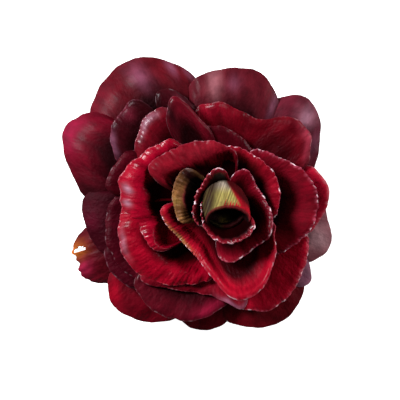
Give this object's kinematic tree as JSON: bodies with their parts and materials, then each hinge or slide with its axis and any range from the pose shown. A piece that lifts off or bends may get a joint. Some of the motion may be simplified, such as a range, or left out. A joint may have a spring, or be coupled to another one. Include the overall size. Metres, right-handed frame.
{
  "type": "flower hair clip",
  "caption": "Large dark red rose with layered, crinkled petals, glued on a felt-backed sprung metal hair clip.",
  "frame": {"origin": "on the rose's axis, level with the underside of the clip's lower arm, which the part lies on", "axes": "+Z out of the face of the rose, +X along the clip from its jaws to its levers, +Y across the clip"},
  "size_m": [0.0996, 0.1013, 0.0477],
  "materials": {
    "petal_crimson": "coated, glossy, finely crinkled",
    "petal_wine": "coated, satin sheen, fine veins",
    "petal_tan": "satin, wrinkled",
    "petal_green": "satin with red streaks",
    "felt": "matt felt",
    "cap_plastic": "moulded",
    "core_foam": "matt",
    "clip_steel": "nickel-plated stamping",
    "pin_steel": "polished",
    "spring_steel": "drawn wire"
  },
  "bodies": {
    "rose": {"outer_petal_right": "petal_wine", "outer_petal_top_left": "petal_wine", "outer_petal_left_lower": "petal_wine", "outer_petal_bottom": "petal_wine", "outer_petal_top_right": "petal_wine", "outer_petal_bottom_left": "petal_wine", "outer_petal_bottom_right": "petal_wine", "outer_petal_top": "petal_wine", "outer_petal_left_upper": "petal_wine", "outer_petal_right_lower": "petal_wine", "outer_petal_left": "petal_wine", "second_petal_right": "petal_wine", "second_petal_top": "petal_wine", "second_petal_left_thin": "petal_wine", "second_petal_top_left": "petal_wine", "second_petal_left": "petal_wine", "second_petal_top_right": "petal_wine", "second_petal_left_upper": "petal_wine", "second_petal_bottom_left": "petal_wine", "third_petal_bottom_right": "petal_crimson", "third_petal_top_left": "petal_crimson", "third_petal_top": "petal_crimson", "third_petal_top_folded": "petal_crimson", "third_petal_bottom": "petal_crimson", "third_petal_right": "petal_crimson", "third_petal_left_lower": "petal_crimson", "third_petal_left": "petal_crimson", "inner_petal_right": "petal_crimson", "inner_petal_bottom": "petal_crimson", "inner_petal_top": "petal_crimson", "heart_petal_right": "petal_crimson", "heart_petal_left": "petal_tan", "bud_wrap_left": "petal_crimson", "bud_wrap_bottom": "petal_crimson", "bud_roll": "petal_green", "flower_core": "core_foam", "petal_cap": "cap_plastic", "felt_disc": "felt", "clip_upper_arm": "clip_steel", "hinge_pin": "pin_steel", "torsion_spring": "spring_steel"},
    "lower_arm": {"clip_lower_arm": "clip_steel"}
  },
  "joints": [
    {"name": "jaw_hinge", "type": "hinge", "parent": "rose", "child": "lower_arm", "pos_m": [0.004, 0.0025, 0.0056], "axis": [0, -1, 0], "range_deg": [0, 32], "stiffness_Nm_per_rad": 0.05, "springref_deg": -45.84, "deforming": ["torsion_spring"]}
  ]
}
